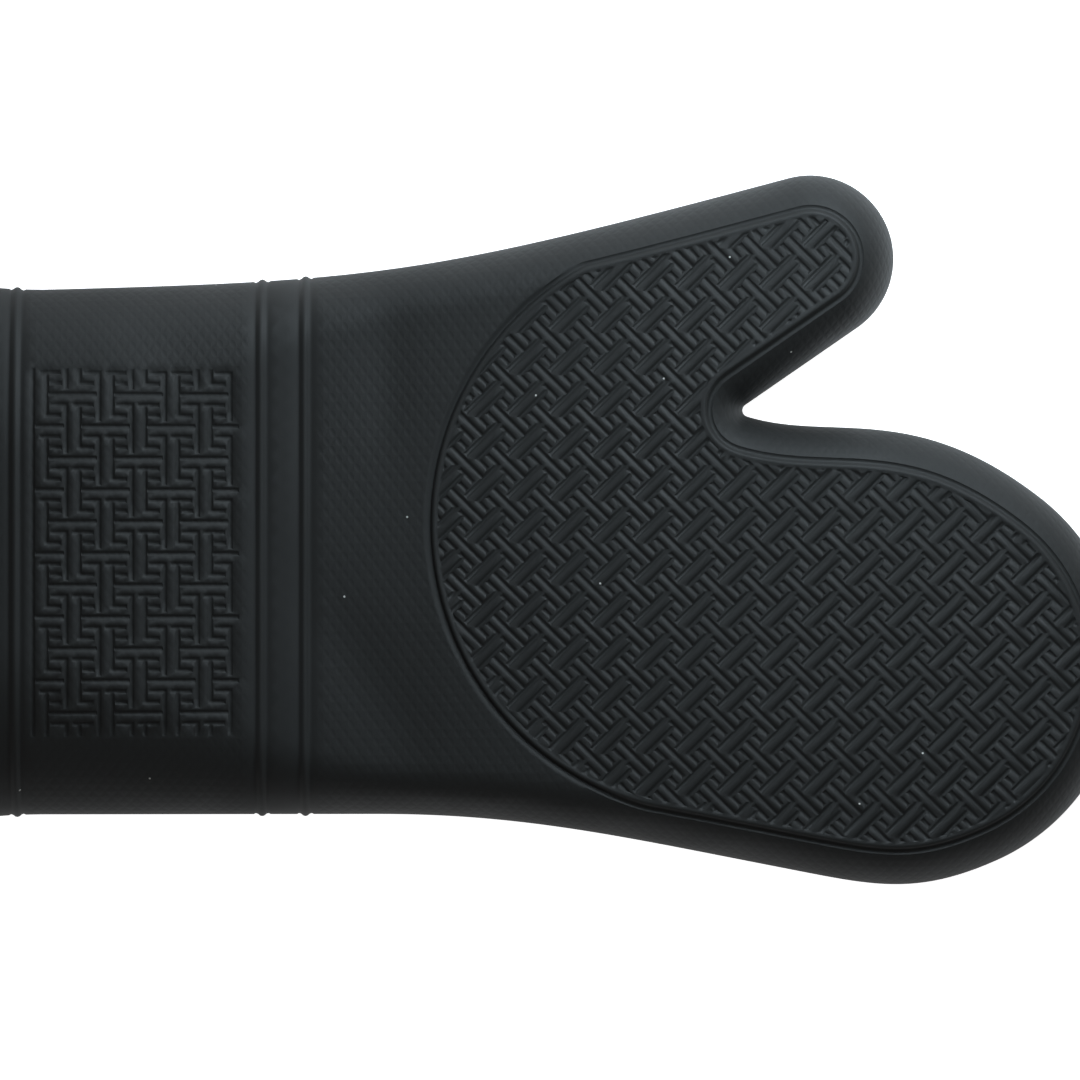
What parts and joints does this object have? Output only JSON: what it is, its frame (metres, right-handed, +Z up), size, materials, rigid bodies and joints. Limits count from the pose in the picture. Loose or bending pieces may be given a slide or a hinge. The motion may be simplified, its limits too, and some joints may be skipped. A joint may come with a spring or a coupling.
{
  "type": "oven mitt",
  "caption": "Long moulded silicone oven mitt lying flat, with a raised fret grip, ribbed cuff, quilted cotton lining and a tape hanging loop.",
  "frame": {"origin": "on the surface the mitt lies on, under the middle of its bounding box, hanging loop counted", "axes": "+X from the cuff's mouth to the fingertips, +Y from the little finger's side to the thumb's side, +Z up out of the palm face"},
  "size_m": [0.3286, 0.1772, 0.0484],
  "materials": {
    "silicone": "matte moulded silicone with a fret relief and a fine diamond knurl",
    "scrim": "thin open backing cloth",
    "wadding": "needled cotton wadding",
    "lining_cotton": "plain-woven cotton, quilted in diamonds",
    "binding_tape": "folded cotton bias tape",
    "loop_tape": "herringbone cotton tape",
    "thread": "twisted polyester sewing thread"
  },
  "bodies": {
    "mitt": {"palm_shell": "silicone", "back_shell": "silicone", "palm_scrim": "scrim", "back_scrim": "scrim", "palm_wadding": "wadding", "back_wadding": "wadding", "palm_lining": "lining_cotton", "back_lining": "lining_cotton", "seam_tape": "binding_tape", "cuff_binding": "binding_tape", "binding_stitching": "thread", "loop_tail": "loop_tape", "loop_bartack": "thread"},
    "loop": {"hanging_loop": "loop_tape"}
  },
  "joints": [
    {"name": "loop_swing", "type": "hinge", "parent": "mitt", "child": "loop", "pos_m": [-0.13026, 0.04631, 0.024], "axis": [0, 0, 1], "range_deg": [-60, 60]}
  ]
}
